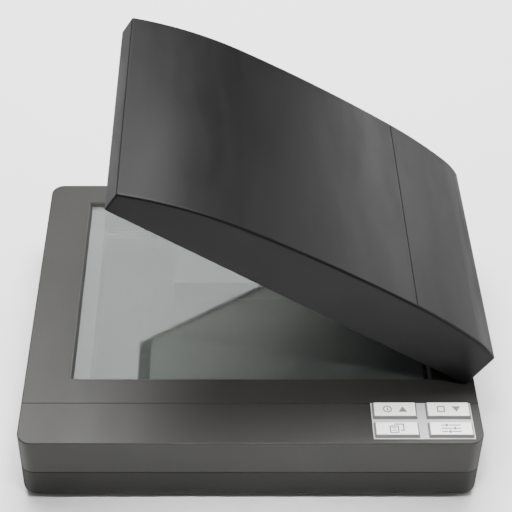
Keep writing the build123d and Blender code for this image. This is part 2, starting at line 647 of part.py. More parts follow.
# ---- Transport lock ----------------------------------------------------------------------------
LOCK_X, LOCK_Y, LOCK_TRAVEL = (-151.0, -148.0), (-76.0, -70.0), 20.0
LOCK_SLOT = (around(LOCK_X, 0.3), (LOCK_Y[0] - 0.5, LOCK_Y[1] + LOCK_TRAVEL + 0.5))


def transport_lock():
    """The slider under the case whose finger holds the carriage between its two ears."""
    lock = block(LOCK_X, LOCK_Y, (2.0, 26.0))
    lock += block(around(LOCK_X, 4), around(LOCK_Y, 3), (FLOOR_Z + 0.1, FLOOR_Z + 1.6))
    thumb = block(around(LOCK_X, 4), around(LOCK_Y, 3), (0.8, FOOT_H - 0.1))
    for step in (-5, -2.5, 0, 2.5, 5):
        y = sum(LOCK_Y) / 2 + step
        thumb -= block((-160, -140), (y - 0.5, y + 0.5), (0, 1.3))
    return lock + thumb


# ---- Hinges ------------------------------------------------------------------------------------
def hinge_post(y):
    """The post that slides in the case and carries two of the hinge's three knuckles."""
    post = block(POST_X, hinge_span(y, HINGE_W / 2), (POST_BOTTOM, TOP_Z))
    post -= block((POST_X[0] - 1, POST_X[1] - 3), hinge_span(y, 10), (POST_BOTTOM + 5, TOP_Z - 12))
    for side in (-1, 1):
        span = sorted((y + side * 6.0, y + side * HINGE_W / 2))
        post += block((HINGE_X - KNUCKLE_R, POST_X[1]), span, (TOP_Z - 1, HINGE_Z))
        post += bar(KNUCKLE_R, (HINGE_X, span[0], HINGE_Z), (HINGE_X, span[1], HINGE_Z))
    return post - bar(PIN_R, (HINGE_X, y - 20, HINGE_Z), (HINGE_X, y + 20, HINGE_Z))


def hinge_pins():
    spans = [hinge_span(y, HINGE_W / 2) for y in HINGE_Y.values()]
    return [bar(PIN_R, (HINGE_X, low, HINGE_Z), (HINGE_X, high, HINGE_Z)) for low, high in spans]


def hinge_leaf(y):
    """The leaf in the lid: the middle knuckle and a plate screwed to the liner."""
    low = LID_BOTTOM + LINER_INSET + LINER_T
    leaf = bar(KNUCKLE_R, (HINGE_X, y - 5.6, HINGE_Z), (HINGE_X, y + 5.6, HINGE_Z))
    leaf += block((176, HINGE_X), (y - 5.6, y + 5.6), (low, low + 3))
    leaf += block((146, 177), hinge_span(y, 14), (low, low + 3))
    leaf -= bar(PIN_R + RUN_FIT, (HINGE_X, y - 20, HINGE_Z), (HINGE_X, y + 20, HINGE_Z))
    for x, dy in LEAF_SCREWS:
        leaf -= bar(SCREW_R, (x, y + dy, 0), (x, y + dy, 100))
    return leaf


LEAF_SCREWS = [(152, 0), (169, -9), (169, 9)]


def leaf_screws():
    low = LID_BOTTOM + LINER_INSET
    return [
        screw(x, y + dy, low + 0.1, low + LINER_T + 4.2) for y in HINGE_Y.values() for x, dy in LEAF_SCREWS
    ]


# ---- Lid, closed -------------------------------------------------------------------------------
def lid_point(spot):
    return (LID_RIGHT - spot[0], LID_BOTTOM + spot[1])


def lid_section(inset):
    """The lid's outline seen from the front: a flat lower edge under four arcs that run on smoothly."""
    hinge_end, shoulder, peak, tail, free_end = map(lid_point, (HINGE_END, SHOULDER, PEAK, TAIL, FREE_END))
    to_shoulder = TangentArc(peak, shoulder, tangent=(1, 0))
    to_hinge = TangentArc(shoulder, hinge_end, tangent=to_shoulder % 1)
    to_tail = TangentArc(peak, tail, tangent=(-1, 0))
    to_free = TangentArc(tail, free_end, tangent=to_tail % 1)
    sides = Polyline(free_end, (LID_LEFT, LID_BOTTOM), (LID_RIGHT, LID_BOTTOM), hinge_end)
    crown = [*to_hinge.edges(), *to_shoulder.edges(), *to_tail.edges(), *to_free.edges()]
    face = make_face([*crown, *sides.edges()])
    return offset(face, -inset, kind=Kind.INTERSECTION) if inset else face


def lid_solid(inset):
    y = around(LID_Y, -inset)
    return Pos(0, y[1], 0) * extrude(Plane.XZ * lid_section(inset), y[1] - y[0])


def lid_shell():
    """Both covers as one: the crowned skin, its walls, the screw columns and the hinge notches."""
    outer = lid_solid(0)
    outer = fillet(outer.edges() - outer.edges().group_by(Axis.Z)[0], LID_EDGE_R)
    skin = outer - lid_solid(LID_WALL)
    skin -= block(
        (LID_LEFT + LID_WALL, LID_RIGHT - LID_WALL), around(LID_Y, -LID_WALL), (60, LID_BOTTOM + LID_WALL + 1)
    )
    low = LID_BOTTOM + LINER_INSET + LINER_T
    reach = lid_solid(LID_WALL / 2)
    for x, y in LID_BOSSES:
        skin += bar(3.6, (x, y, low), (x, y, TOP_Z + 60)) & reach
        skin -= bar(SCREW_R, (x, y, 60), (x, y, low + 9))
    for y in HINGE_Y.values():
        skin -= hinge_notch(y)
    return skin


def hinge_notch(y):
    """The room in the lid that the hinge's knuckles need as the lid turns."""
    return block((HINGE_X - 5.2, LID_RIGHT + 1), hinge_span(y, HINGE_W / 2 + 0.6), (60, HINGE_Z + 5.2))


def hinge_room(gap):
    """The space between the lid's side walls on the hinge side of the joint."""
    joint = LID_RIGHT - LID_JOINT
    return block((joint + gap, LID_RIGHT + 1), around(LID_Y, -LID_WALL), (0, 200))


def lid_cover():
    """The long cover, with the two side walls that run on past the joint to the hinge end."""
    return lid_shell() - hinge_room(-LID_GAP / 2)


def hinge_cover():
    """The short cover between the side walls on the hinge side of the joint."""
    side = around(LID_Y, -(LID_WALL + LID_SIDE_GAP))
    return lid_shell() & hinge_room(LID_GAP / 2) & block((-200, 200), side, (0, 200))


def lid_liner():
    """The flat panel that closes the lid from below."""
    low = LID_BOTTOM + LINER_INSET
    gap = LID_WALL + 0.2
    panel = block((LID_LEFT + gap, LID_RIGHT - gap), around(LID_Y, -gap), (low, low + LINER_T))
    for x, y in LID_BOSSES:
        panel -= bar(SCREW_R + 0.2, (x, y, 60), (x, y, 80))
        panel -= bar(SCREW_HEAD_R + 0.2, (x, y, 60), (x, y, low + 1.9))
    for y in HINGE_Y.values():
        panel -= hinge_notch(y)
        for x, dy in LEAF_SCREWS:
            panel -= bar(SCREW_R + 0.2, (x, y + dy, 60), (x, y + dy, 80))
            panel -= bar(SCREW_HEAD_R + 0.2, (x, y + dy, 60), (x, y + dy, low + 1.9))
    return panel


def lid_screws():
    low = LID_BOTTOM + LINER_INSET
    return [screw(x, y, low + 0.1, low + LINER_T + 7) for x, y in LID_BOSSES]


def pad(z0, z1):
    margin = GASKET_W + PAD_MARGIN
    return block(around(WINDOW_X, -margin), around(WINDOW_Y, -margin), (z0, z1))


def backing_foam():
    return pad(GLASS_TOP + 0.3 + SHEET_T, LID_BOTTOM + LINER_INSET)


def backing_sheet():
    """The white sheet that lies against the document."""
    return pad(GLASS_TOP + 0.3, GLASS_TOP + 0.3 + SHEET_T)


def lid_bumpers():
    """The four small pads that the closed lid rests on."""
    low = LID_BOTTOM + LINER_INSET
    spots = [(x, y) for x in (-157, 168) for y in (-94, 138)]
    return [bar(4, (x, y, TOP_Z + 0.1), (x, y, low)) for x, y in spots]


# ---- Nodes -------------------------------------------------------------------------------------
CLOSED_LID = {
    "lid_cover": lid_cover,
    "hinge_cover": hinge_cover,
    "lid_liner": lid_liner,
    "backing_foam": backing_foam,
    "backing_sheet": backing_sheet,
    "lid_bumpers": lid_bumpers,
    "lid_screws": lid_screws,
    "leaf_screws": leaf_screws,
    "hinge_leaf_front": lambda: hinge_leaf(HINGE_Y["front"]),
    "hinge_leaf_rear": lambda: hinge_leaf(HINGE_Y["rear"]),
}
FIXED = {
    "lower_case": lower_case,
    "upper_case": upper_case,
    "control_strip": control_strip,
    "key_bezel": key_bezel,
    "platen_glass": platen_glass,
    "glass_tape": glass_tape,
    "glass_gasket": glass_gasket,
    "calibration_strip": calibration_strip,
    "rubber_feet": rubber_feet,
    "case_screws": case_screws,
    "main_board": main_board,
    "board_components": board_components,
    "usb_port": usb_port,
    "power_inlet": power_inlet,
    "board_shield": board_shield,
    "key_board": key_board,
    "key_switches": key_switches,
    "inner_screws": inner_screws,
    "guide_rod": guide_rod,
    "rod_holders": rod_holders,
    "rear_rail": rear_rail,
    "motor_bracket": motor_bracket,
    "motor_body": motor_body,
    "motor_pinion": motor_pinion,
    "drive_gear": drive_gear,
    "drive_axle": drive_axle,
    "drive_belt": drive_belt,
    "idler_pulley": idler_pulley,
    "idler_bracket": idler_bracket,
    "tension_spring": tension_spring,
    "carriage_housing": carriage_housing,
    "carriage_cover": carriage_cover,
    "lamp_tube": lamp_tube,
    "lamp_reflector": lamp_reflector,
    "lamp_holders": lamp_holders,
    "mirrors": mirrors,
    "lens_barrel": lens_barrel,
    "sensor_board": sensor_board,
    "rod_bushings": rod_bushings,
    "rear_glide": rear_glide,
    "belt_clamp": belt_clamp,
    "transport_lock": transport_lock,
    "start_key": lambda: key(0, "back"),
    "stop_key": lambda: key(1, "back"),
    "copy_key": lambda: key(0, "front"),
    "settings_key": lambda: key(1, "front"),
    "hinge_post_front": lambda: hinge_post(HINGE_Y["front"]),
    "hinge_post_rear": lambda: hinge_post(HINGE_Y["rear"]),
    "hinge_pins": hinge_pins,
}
HINGE_AXIS = Axis((HINGE_X, 0, HINGE_Z), (0, 1, 0))


def save(name, made, turn=0.0):
    """Writes one node; a node may be one shape or a list of them."""
    solids = [s for shape in (made if isinstance(made, list) else [made]) for s in shape.solids()]
    if turn:
        solids = [s.rotate(HINGE_AXIS, turn) for s in solids]
    solids = [Pos(-CASE_OFFSET, 0, 0) * s for s in solids]
    export_step(Compound(children=solids) if len(solids) > 1 else solids[0], f"parts/{name}.step")


os.makedirs("parts", exist_ok=True)
for node, make in FIXED.items():
    save(node, make())
for node, make in CLOSED_LID.items():
    save(node, make(), LID_REST_DEG)
print("nodes", len(FIXED) + len(CLOSED_LID))
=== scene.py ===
import json
import math

import bmesh
import bpy
from mathutils import Matrix, Vector


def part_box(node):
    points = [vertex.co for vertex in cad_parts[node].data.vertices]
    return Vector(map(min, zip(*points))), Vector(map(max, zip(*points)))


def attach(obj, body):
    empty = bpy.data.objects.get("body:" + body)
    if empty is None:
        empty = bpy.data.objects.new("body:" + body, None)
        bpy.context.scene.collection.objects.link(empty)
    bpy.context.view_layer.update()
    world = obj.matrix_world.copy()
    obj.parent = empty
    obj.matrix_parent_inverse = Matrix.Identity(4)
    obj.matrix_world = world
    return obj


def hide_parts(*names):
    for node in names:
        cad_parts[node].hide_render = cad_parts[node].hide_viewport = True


# The looks of a flatbed scanner: materials, key marks and the lid's pad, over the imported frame.
# Lengths are in metres, and MM turns millimetres into them.
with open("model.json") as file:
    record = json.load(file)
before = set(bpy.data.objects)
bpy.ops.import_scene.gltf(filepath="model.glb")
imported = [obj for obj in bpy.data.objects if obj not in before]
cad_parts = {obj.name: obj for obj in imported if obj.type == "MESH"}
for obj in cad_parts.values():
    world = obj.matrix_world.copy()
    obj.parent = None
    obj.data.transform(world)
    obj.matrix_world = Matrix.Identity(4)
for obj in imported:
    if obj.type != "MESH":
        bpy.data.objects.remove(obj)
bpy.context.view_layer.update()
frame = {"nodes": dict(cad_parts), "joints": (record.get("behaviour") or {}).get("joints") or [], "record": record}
NODES = frame["nodes"]
SCENE = bpy.context.scene
MM = 0.001

CASE_LOW, CASE_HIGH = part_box("upper_case")
# The middle of the case's top face, from which the camera and the lights are placed.
CASE_TOP = ((CASE_LOW.x + CASE_HIGH.x) / 2, (CASE_LOW.y + CASE_HIGH.y) / 2, CASE_HIGH.z)
JOINTS = {joint["name"]: joint for joint in frame["joints"]}
HINGE = Vector(JOINTS["lid_hinge"]["pos_m"])
LID_REST = math.radians(-JOINTS["lid_hinge"]["range_deg"][0])


# ---- Camera ----------------------------------------------------------------------------------
CAMERA_PLACE = (-0.0229, -0.8916, 0.8429)
CAMERA_TILT = 48.5  # degrees up from straight down
SENSOR_WIDTH = 36.0  # millimetres, as is the lens
LENS = 96.6
SHIFT = 0.0664


def make_camera():
    data = bpy.data.cameras.new("camera")
    data.sensor_width = SENSOR_WIDTH
    data.lens = LENS
    data.shift_x = SHIFT
    data.clip_start = 0.05
    data.clip_end = 50.0
    camera = bpy.data.objects.new("camera", data)
    SCENE.collection.objects.link(camera)
    camera.location = [middle + offset for middle, offset in zip(CASE_TOP, CAMERA_PLACE)]
    camera.rotation_euler = (math.radians(CAMERA_TILT), 0, 0)
    SCENE.camera = camera


make_camera()


# ---- Node helpers ----------------------------------------------------------------------------
class Shader:
    """A material's node tree, with short ways to add and join nodes."""

    def __init__(self, name):
        self.material = bpy.data.materials.new(name)
        self.material.use_nodes = True
        self.tree = self.material.node_tree
        self.bsdf = self.tree.nodes["Principled BSDF"]
        self.coords = self.add("ShaderNodeTexCoord").outputs["Object"]

    def add(self, kind, inputs=None, **settings):
        """A new node, with each input joined to a socket or given a value."""
        node = self.tree.nodes.new(kind)
        for key, value in settings.items():
            setattr(node, key, value)
        for key, value in (inputs or {}).items():
            if isinstance(value, bpy.types.NodeSocket):
                self.tree.links.new(value, node.inputs[key])
            else:
                node.inputs[key].default_value = value
        return node

    def set(self, **values):
        """Joins or sets the Principled BSDF's inputs, named with underscores for spaces."""
        for key, value in values.items():
            socket = self.bsdf.inputs[key.replace("_", " ")]
            if isinstance(value, bpy.types.NodeSocket):
                self.tree.links.new(value, socket)
            else:
                socket.default_value = value

    def noise(self, scale, detail=3.0, rough=0.55, stretch=(1, 1, 1)):
        place = self.add("ShaderNodeMapping", {"Vector": self.coords, "Scale": stretch})
        node = self.add(
            "ShaderNodeTexNoise",
            {"Vector": place.outputs[0], "Scale": scale, "Detail": detail, "Roughness": rough},
        )
        return node.outputs["Fac"]

    def ramp(self, value, low, high, to_low=0.0, to_high=1.0):
        node = self.add(
            "ShaderNodeMapRange",
            {"Value": value, "From Min": low, "From Max": high,
             "To Min": to_low, "To Max": to_high},
            interpolation_type="SMOOTHSTEP",
        )
        return node.outputs[0]

    def mix(self, factor, a, b):
        """Colour a where the factor is 0 and b where it is 1. The colours are sockets 6 and 7."""
        node = self.add("ShaderNodeMix", data_type="RGBA")
        for index, value in ((0, factor), (6, a), (7, b)):
            if isinstance(value, bpy.types.NodeSocket):
                self.tree.links.new(value, node.inputs[index])
            else:
                node.inputs[index].default_value = value if index == 0 else (*value, 1)
        return node.outputs[2]

    def math(self, operation, a, b=0.0):
        node = self.add("ShaderNodeMath", operation=operation)
        for index, value in ((0, a), (1, b)):
            if isinstance(value, bpy.types.NodeSocket):
                self.tree.links.new(value, node.inputs[index])
            else:
                node.inputs[index].default_value = value
        return node.outputs[0]

    def edges(self, radius):
        """1 along convex and concave edges, 0 on flat ground."""
        soft = self.add("ShaderNodeBevel", {"Radius": radius}, samples=4)
        true = self.add("ShaderNodeNewGeometry")
        dot = self.add("ShaderNodeVectorMath", operation="DOT_PRODUCT")
        self.tree.links.new(soft.outputs[0], dot.inputs[0])
        self.tree.links.new(true.outputs["Normal"], dot.inputs[1])
        return self.ramp(dot.outputs["Value"], 0.995, 0.8)


WORN_EDGE = 0.6 * MM


def shade(colour, factor):
    """A colour made darker or lighter."""
    return tuple(min(1.0, channel * factor) for channel in colour)


def moulded(
    name, colour, rough, grain=0.25, mottle=0.08, wear=0.0, soft=0.0, shine=0.4, side_shade=None
):
    """Moulded plastic: fine spark-eroded grain, faint flow mottling, handling marks and worn edges.

    soft is the radius that sharp edges are shaded with, shine the strength of the gloss, and the last
    argument a painted shade: the darker colour given to the faces that don't look up, for their shade.
    """
    s = Shader(name)
    cloud = s.noise(9.0, 4.0)
    speck = s.noise(700.0, 2.0)
    base = s.mix(s.ramp(cloud, 0.35, 0.65), shade(colour, 1 - mottle), shade(colour, 1 + mottle))
    base = s.mix(s.ramp(speck, 0.35, 0.7, 0.0, 0.25), base, shade(colour, 1.25))
    if wear:
        chips = s.ramp(s.noise(160.0, 4.0), 0.42, 0.62)
        rubbed = s.math("MULTIPLY", s.edges(WORN_EDGE), chips)
        base = s.mix(s.math("MULTIPLY", rubbed, wear), base, shade(colour, 2.6))
    # Painted shade: faces that don't look up, such as the sides of the keys, take a darker colour that stands in
    # for their shade.
    if side_shade:
        normal = s.add("ShaderNodeTexCoord").outputs["Normal"]
        upward = s.add("ShaderNodeSeparateXYZ", {"Vector": normal}).outputs["Z"]
        side_shade_mask = s.add("ShaderNodeMapRange", {"Value": upward, "From Min": 0.72, "From Max": 0.92})
        base = s.mix(side_shade_mask.outputs[0], side_shade, base)
    marks = s.noise(26.0, 5.0, 0.65, (1.0, 0.25, 1.0))
    s.set(Base_Color=base, Roughness=s.ramp(marks, 0.3, 0.75, rough - 0.04, rough + 0.07))
    height = s.add(
        "ShaderNodeBump",
        {"Height": s.noise(1600.0, 2.0), "Strength": grain, "Distance": 0.08 * MM},
    )
    if soft:
        bevel = s.add("ShaderNodeBevel", {"Radius": soft}, samples=4)
        s.tree.links.new(bevel.outputs[0], height.inputs["Normal"])
    s.set(Normal=height.outputs[0])
    facing = s.add("ShaderNodeLayerWeight", {"Blend": 0.5}).outputs["Facing"]
    s.set(Specular_IOR_Level=s.ramp(facing, 0.5, 0.78, shine, 0.1 * shine))
    return s.material


def metal(name, colour, rough, stretch=(1, 1, 1), lines=300.0, bump=0.08):
    """Bare or plated metal with drawn or ground lines along one direction."""
    s = Shader(name)
    grind = s.noise(lines, 4.0, 0.6, stretch)
    stain = s.noise(30.0, 4.0)
    tone = s.mix(s.ramp(stain, 0.3, 0.7), shade(colour, 0.86), shade(colour, 1.08))
    tone = s.mix(s.ramp(grind, 0.3, 0.7, 0.0, 0.3), tone, shade(colour, 0.7))
    s.set(
        Base_Color=tone,
        Metallic=1.0,
        Roughness=s.ramp(grind, 0.25, 0.75, rough - 0.05, rough + 0.12),
    )
    height = s.add("ShaderNodeBump", {"Height": grind, "Strength": bump, "Distance": 0.05 * MM})
    s.set(Normal=height.outputs[0])
    return s.material


def rubber(name, colour, rough=0.8):
    """Matt rubber with pale dust caught in its skin."""
    s = Shader(name)
    dust = s.ramp(s.noise(60.0, 5.0, 0.7), 0.5, 0.8)
    s.set(
        Base_Color=s.mix(dust, colour, shade(colour, 2.2)),
        Roughness=s.ramp(dust, 0.0, 1.0, rough - 0.1, rough + 0.1),
    )
    height = s.add(
        "ShaderNodeBump",
        {"Height": s.noise(900.0, 3.0), "Strength": 0.35, "Distance": 0.1 * MM},
    )
    s.set(Normal=height.outputs[0])
    return s.material


def board(name):
    """Green solder mask over faint copper tracks."""
    s = Shader(name)
    tracks = s.add(
        "ShaderNodeTexBrick",
        {"Vector": s.coords, "Scale": 90.0, "Mortar Size": 0.02, "Bias": 0.0,
         "Brick Width": 0.9, "Row Height": 0.16},
    )
    tracks.inputs["Color1"].default_value = (0.012, 0.10, 0.03, 1)
    tracks.inputs["Color2"].default_value = (0.015, 0.12, 0.04, 1)
    tracks.inputs["Mortar"].default_value = (0.04, 0.2, 0.06, 1)
    blotch = s.ramp(s.noise(40.0, 3.0), 0.3, 0.7, 0.0, 0.4)
    s.set(Base_Color=s.mix(blotch, tracks.outputs[0], (0.01, 0.07, 0.025)), Roughness=0.35)
    height = s.add(
        "ShaderNodeBump", {"Height": tracks.outputs["Fac"], "Strength": 0.3, "Distance": 0.05 * MM}
    )
    s.set(Normal=height.outputs[0])
    return s.material


def clear_glass(name):
    """The platen, very slightly green, with faint wiping smears."""
    s = Shader(name)
    smear = s.ramp(s.noise(14.0, 5.0, 0.6, (1.0, 0.4, 1.0)), 0.45, 0.8)
    s.set(
        Base_Color=(0.86, 0.93, 0.90, 1),
        Roughness=s.ramp(smear, 0.0, 1.0, 0.03, 0.09),
        IOR=1.5,
        Transmission_Weight=s.ramp(s.noise(60.0, 5.0, 0.7), 0.35, 0.75, 0.985, 0.955),
    )
    return s.material


def glow_tube(name):
    """The lamp's phosphor-white tube, unlit."""
    s = Shader(name)
    band = s.ramp(s.noise(40.0, 2.0, 0.5, (1.0, 0.2, 1.0)), 0.3, 0.7)
    s.set(Base_Color=s.mix(band, (0.85, 0.86, 0.88), (0.93, 0.93, 0.92)), Roughness=0.18)
    return s.material


def looking_glass(name):
    """A silvered mirror with patches of haze."""
    s = Shader(name)
    haze = s.ramp(s.noise(25.0, 4.0), 0.4, 0.8)
    s.set(
        Base_Color=s.mix(haze, (0.86, 0.88, 0.9), (0.78, 0.8, 0.82)),
        Metallic=1.0,
        Roughness=s.ramp(haze, 0.0, 1.0, 0.02, 0.1),
    )
    return s.material


def foam(name, colour):
    """Closed-cell foam: small round cells seen as a fine pebbled skin."""
    s = Shader(name)
    cells = s.add("ShaderNodeTexVoronoi", {"Vector": s.coords, "Scale": 900.0}).outputs["Distance"]
    s.set(
        Base_Color=s.mix(s.ramp(cells, 0.1, 0.7), shade(colour, 0.75), shade(colour, 1.15)),
        Roughness=s.ramp(s.noise(50.0), 0.3, 0.7, 0.82, 0.95),
    )
    height = s.add("ShaderNodeBump", {"Height": cells, "Strength": 0.5, "Distance": 0.15 * MM})
    s.set(Normal=height.outputs[0])
    return s.material


def white_film(name, colour):
    """The smooth white backing sheet, very slightly yellowed and scuffed."""
    s = Shader(name)
    age = s.ramp(s.noise(5.0, 4.0), 0.35, 0.7)
    tone = s.mix(age, colour, shade(colour, 0.95))
    scuff = s.ramp(s.noise(220.0, 5.0, 0.7, (0.2, 1.0, 1.0)), 0.62, 0.8, 0.0, 0.35)
    s.set(
        Base_Color=s.mix(scuff, tone, shade(colour, 0.8)),
        Roughness=s.ramp(age, 0.0, 1.0, 0.38, 0.5),
    )
    height = s.add(
        "ShaderNodeBump",
        {"Height": s.noise(500.0, 3.0), "Strength": 0.12, "Distance": 0.05 * MM},
    )
    s.set(Normal=height.outputs[0])
    return s.material


GRAPHITE = (0.021, 0.0204, 0.0186)
LID_BLACK = (0.005, 0.0047, 0.0049)
KEY_WHITE = (0.82, 0.82, 0.80)
# Painted shade: a darker colour for the sides of the white keys, standing in for the shade on them.
KEY_SIDE_SHADE = (0.2, 0.2, 0.195)
MATERIALS = {
    "case_plastic": moulded("graphite_case", GRAPHITE, 0.4, wear=0.35, soft=0.4 * MM, shine=0.2),
    "tray_plastic": moulded(
        "graphite_tray", shade(GRAPHITE, 0.8), 0.44, wear=0.3, soft=0.4 * MM, shine=0.12
    ),
    "lid_plastic": moulded(
        "lid_black", LID_BLACK, 0.36, grain=0.15, wear=0.3, soft=0.3 * MM, shine=0.15
    ),
    "liner_plastic": moulded("lid_liner_grey", (0.06, 0.06, 0.06), 0.5, wear=0.2),
    "key_plastic": moulded(
        "key_white", KEY_WHITE, 0.36, grain=0.1, mottle=0.02, soft=0.3 * MM, side_shade=KEY_SIDE_SHADE
    ),
    "bezel_plastic": moulded("bezel_silver", (0.38, 0.38, 0.38), 0.42, mottle=0.04, soft=0.2 * MM),
    "lock_plastic": moulded("lock_grey", (0.16, 0.16, 0.16), 0.45, wear=0.3),
    "optics_plastic": moulded("optics_black", (0.02, 0.02, 0.02), 0.6, grain=0.5, wear=0.15),
    "socket_plastic": moulded("socket_black", (0.015, 0.015, 0.015), 0.4, soft=0.2 * MM),
    "chip_plastic": moulded("chip_black", (0.02, 0.02, 0.022), 0.5),
    "gear_plastic": moulded("acetal", (0.72, 0.70, 0.62), 0.35, mottle=0.04),
    "tape": moulded("tape_white", (0.75, 0.75, 0.73), 0.5),
    "white_strip": white_film("reference_white", (0.86, 0.86, 0.84)),
    "backing_white": white_film("backing_white", (0.84, 0.84, 0.82)),
    "backing_foam": foam("backing_foam", (0.22, 0.22, 0.22)),
    "platen_glass": clear_glass("float_glass"),
    "lamp_glass": glow_tube("lamp_white"),
    "mirror": looking_glass("silvered_glass"),
    "gasket_rubber": rubber("gasket_black", (0.014, 0.014, 0.013), 0.6),
    "foot_rubber": rubber("foot_black", (0.02, 0.02, 0.02)),
    "belt_rubber": rubber("belt_black", (0.02, 0.02, 0.02), 0.7),
    "circuit_board": board("solder_mask"),
    "socket_metal": metal("tinned_steel", (0.62, 0.62, 0.6), 0.3),
    "screw_steel": metal("zinc_screw", (0.55, 0.55, 0.56), 0.35),
    "rod_steel": metal("ground_steel", (0.7, 0.7, 0.71), 0.16, (1, 30, 30)),
    "sheet_steel": metal("plated_sheet", (0.6, 0.6, 0.58), 0.34),
    "motor_steel": metal("motor_can", (0.4, 0.4, 0.42), 0.32),
    "spring_steel": metal("spring_wire", (0.5, 0.5, 0.5), 0.3),
    "reflector": metal("bright_strip", (0.82, 0.82, 0.82), 0.16, (20, 1, 20)),
    "brass": metal("brass", (0.75, 0.55, 0.26), 0.25),
    "bushing_bronze": metal("sintered_bronze", (0.55, 0.4, 0.22), 0.45, lines=900.0, bump=0.3),
    "shield_steel": moulded("shield_black", (0.02, 0.02, 0.02), 0.55, grain=0.4, wear=0.3),
    "hinge_steel": moulded("hinge_black", (0.03, 0.03, 0.03), 0.4, grain=0.4, wear=0.6),
}


def dress_frame():
    """Every CAD node gets the detailed material of its slot."""
    for part in frame["record"]["subparts"]:
        node = NODES[part["node"]]
        node.data.materials.clear()
        node.data.materials.append(MATERIALS[part["material_slot"]])


dress_frame()


# ---- Mesh helpers ----------------------------------------------------------------------------
BEVEL_SEGMENTS = 3
BEVEL_ANGLE = math.radians(30)
SHARP_ANGLE = math.radians(40)


def finish_piece(name, mesh, body, material, replaces=(), bevel=0.0):
    """Makes an object of a finished mesh, softens its edges and ties it to its body."""
    obj = bpy.data.objects.new(name, mesh)
    SCENE.collection.objects.link(obj)
    obj.data.materials.append(material)
    if bevel:
        modifier = obj.modifiers.new("edges", "BEVEL")
        modifier.width = bevel
        modifier.segments = BEVEL_SEGMENTS
        modifier.limit_method = "ANGLE"
        modifier.angle_limit = BEVEL_ANGLE
        modifier.harden_normals = True
    for polygon in mesh.polygons:
        polygon.use_smooth = True
    mesh.set_sharp_from_angle(angle=SHARP_ANGLE)
    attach(obj, body)
    if replaces:
        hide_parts(*replaces)
    return obj


def rounded_outline(x0, x1, y0, y1, radius, steps=5):
    """The corners of a rounded rectangle, anticlockwise."""
    corners = ((x1 - radius, y1 - radius, 0), (x0 + radius, y1 - radius, 90),
               (x0 + radius, y0 + radius, 180), (x1 - radius, y0 + radius, 270))
    points = []
    for cx, cy, start in corners:
        for step in range(steps + 1):
            angle = math.radians(start + 90 * step / steps)
            points.append((cx + radius * math.cos(angle), cy + radius * math.sin(angle)))
    return points


def closed_mesh(name, bm):
    """A mesh of the built faces, all turned to look outward."""
    bmesh.ops.recalc_face_normals(bm, faces=bm.faces)
    mesh = bpy.data.meshes.new(name)
    bm.to_mesh(mesh)
    bm.free()
    return mesh


def stack(name, rings):
    """A closed mesh through a list of (outline, height) rings with equal point counts."""
    bm = bmesh.new()
    rows = [[bm.verts.new((x, y, z)) for x, y in outline] for outline, z in rings]
    for low, high in zip(rows, rows[1:]):
        for i in range(len(low)):
            j = (i + 1) % len(low)
            bm.faces.new((low[i], low[j], high[j], high[i]))
    bm.faces.new(list(reversed(rows[0])))
    bm.faces.new(rows[-1])
    return closed_mesh(name, bm)


def prism(name, outlines, z0, z1):
    """Flat figures raised between two heights, all in one mesh."""
    bm = bmesh.new()
    for outline in outlines:
        low = [bm.verts.new((x, y, z0)) for x, y in outline]
        high = [bm.verts.new((x, y, z1)) for x, y in outline]
        for i in range(len(low)):
            j = (i + 1) % len(low)
            bm.faces.new((low[i], low[j], high[j], high[i]))
        bm.faces.new(list(reversed(low)))
        bm.faces.new(high)
    return closed_mesh(name, bm)


# ---- Key marks -------------------------------------------------------------------------------
MARK_GREY = moulded("mark_grey", (0.13, 0.128, 0.124), 0.5, mottle=0.04)
MARK_HEIGHT = 0.12 * MM
MARK_SINK = 0.1 * MM
# Sizes of the figures are in millimetres from the middle of a key.
LINE = 1.05


def triangle(cx, cy, half, height, up):
    """A triangle that points up or down the key, anticlockwise."""
    tip = height / 2 if up else -height / 2
    points = [(cx - half, cy - tip), (cx + half, cy - tip), (cx, cy + tip)]
    return points if up else list(reversed(points))


def arrow(up):
    """The arrowhead at the right of a key."""
    return triangle(6.5, 0, 3.6, 6.0, up)


def bar_outline(x0, x1, y0, y1):
    """A bar with almost round ends."""
    return rounded_outline(x0, x1, y0, y1, min(x1 - x0, y1 - y0) * 0.45, 3)


def frame_bars(x0, x1, y0, y1, width):
    """A rectangle's outline as four bars."""
    return [
        bar_outline(x0, x1, y0, y0 + width), bar_outline(x0, x1, y1 - width, y1),
        bar_outline(x0, x0 + width, y0, y1), bar_outline(x1 - width, x1, y0, y1),
    ]


def ring(cx, cy, radius, width, steps=20):
    """A ring as short overlapping bars laid end to end."""
    outlines = []
    for step in range(steps):
        a, b = (2 * math.pi * (step + side) / steps for side in (-0.05, 1.05))
        outlines.append([
            (cx + r * math.cos(t), cy + r * math.sin(t))
            for r, t in ((radius - width, a), (radius, a), (radius, b), (radius - width, b))
        ])
    return outlines


def at(centre, shapes):
    """Outlines given in millimetres, moved to a key's middle."""
    return [[(centre[0] + x * MM, centre[1] + y * MM) for x, y in shape] for shape in shapes]


def slider(y, knob):
    """A slide control: a line with a taller knob on it."""
    return [
        bar_outline(-8.0, knob - 1.5, y - 0.5, y + 0.5),
        bar_outline(knob + 1.5, 8.0, y - 0.5, y + 0.5),
        bar_outline(knob - 1.1, knob + 1.1, y - 1.4, y + 1.4),
    ]


